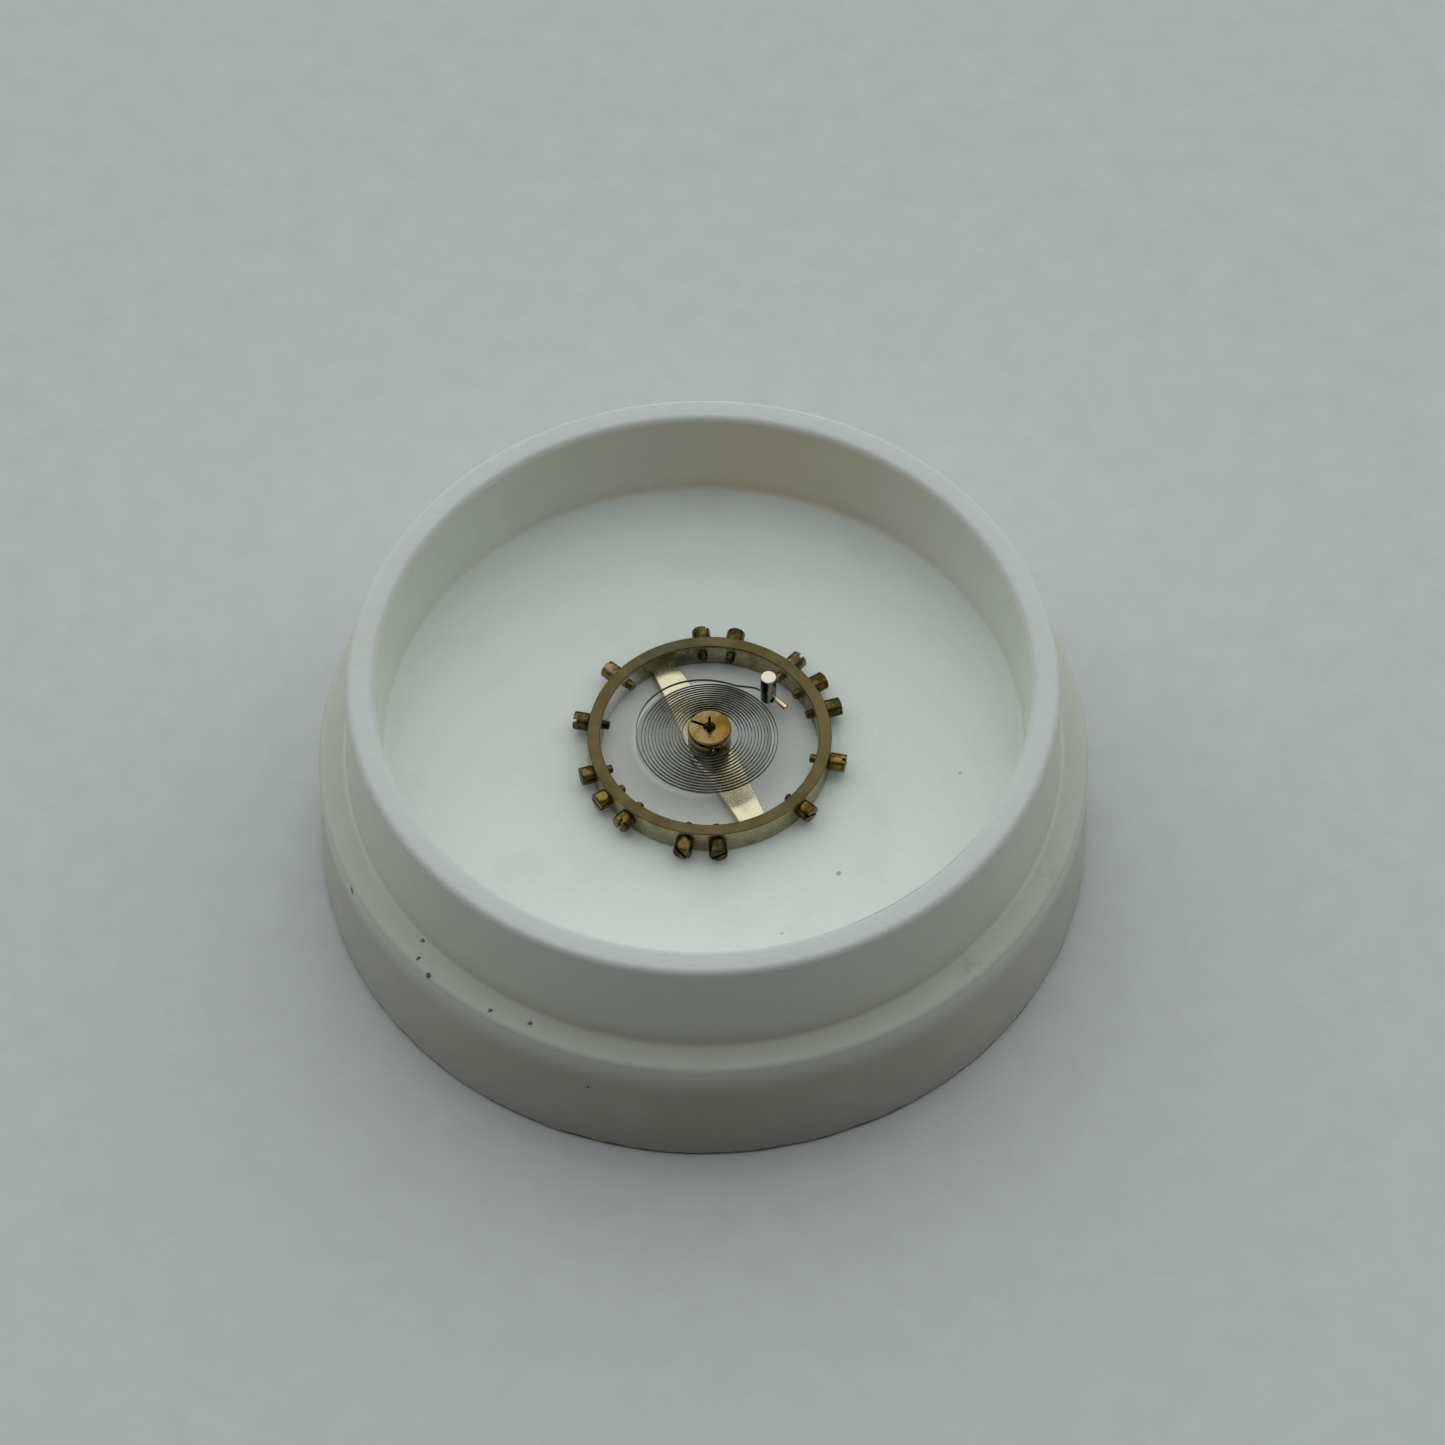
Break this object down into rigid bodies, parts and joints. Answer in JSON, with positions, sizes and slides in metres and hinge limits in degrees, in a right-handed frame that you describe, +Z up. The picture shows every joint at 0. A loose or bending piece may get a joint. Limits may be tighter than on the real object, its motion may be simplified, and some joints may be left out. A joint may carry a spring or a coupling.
{
  "type": "watch balance in a storage pot",
  "caption": "Screw balance wheel with a flat spiral hairspring, collet and stud, lying in the open bottom half of a small round white storage pot.",
  "frame": {"origin": "centre of the pot's underside", "axes": "+Z up through the pot's open mouth, +Y away from the side with the two neighbouring timing screws that stand nearest the lip"},
  "size_m": [0.0334, 0.0334, 0.0114],
  "materials": {
    "white_plastic": "matte white moulding",
    "gilt_alloy": "dull yellow-grey alloy, lightly tarnished",
    "screw_brass": "tarnished brass",
    "brass": "bright brass",
    "spring_steel": "polished grey steel strip",
    "polished_steel": "polished",
    "ruby": "polished ruby"
  },
  "bodies": {
    "pot": {"storage_pot": "white_plastic"},
    "stud": {"hairspring_stud": "polished_steel", "stud_pin": "brass", "hairspring": "spring_steel"},
    "balance": {"balance_wheel": "gilt_alloy", "timing_screw_01": "screw_brass", "timing_screw_02": "screw_brass", "timing_screw_03": "screw_brass", "timing_screw_04": "screw_brass", "timing_screw_05": "screw_brass", "timing_screw_06": "screw_brass", "timing_screw_07": "screw_brass", "timing_screw_08": "screw_brass", "timing_screw_09": "screw_brass", "timing_screw_10": "screw_brass", "timing_screw_11": "screw_brass", "timing_screw_12": "screw_brass", "timing_screw_13": "screw_brass", "timing_screw_14": "screw_brass", "balance_staff": "polished_steel", "collet": "brass", "collet_pin": "brass", "roller_table": "polished_steel", "safety_roller": "polished_steel", "impulse_jewel": "ruby"}
  },
  "joints": [
    {"name": "lift_out", "type": "slide", "parent": "pot", "child": "stud", "axis": [0, 0, 1], "range_m": [0, 0.007]},
    {"name": "balance_swing", "type": "hinge", "parent": "stud", "child": "balance", "pos_m": [0.00026, -0.00062, 0.0067], "axis": [0, 0, 1], "range_deg": [-315, 315], "stiffness_Nm_per_rad": 0.0000015, "deforming": ["hairspring"]}
  ]
}
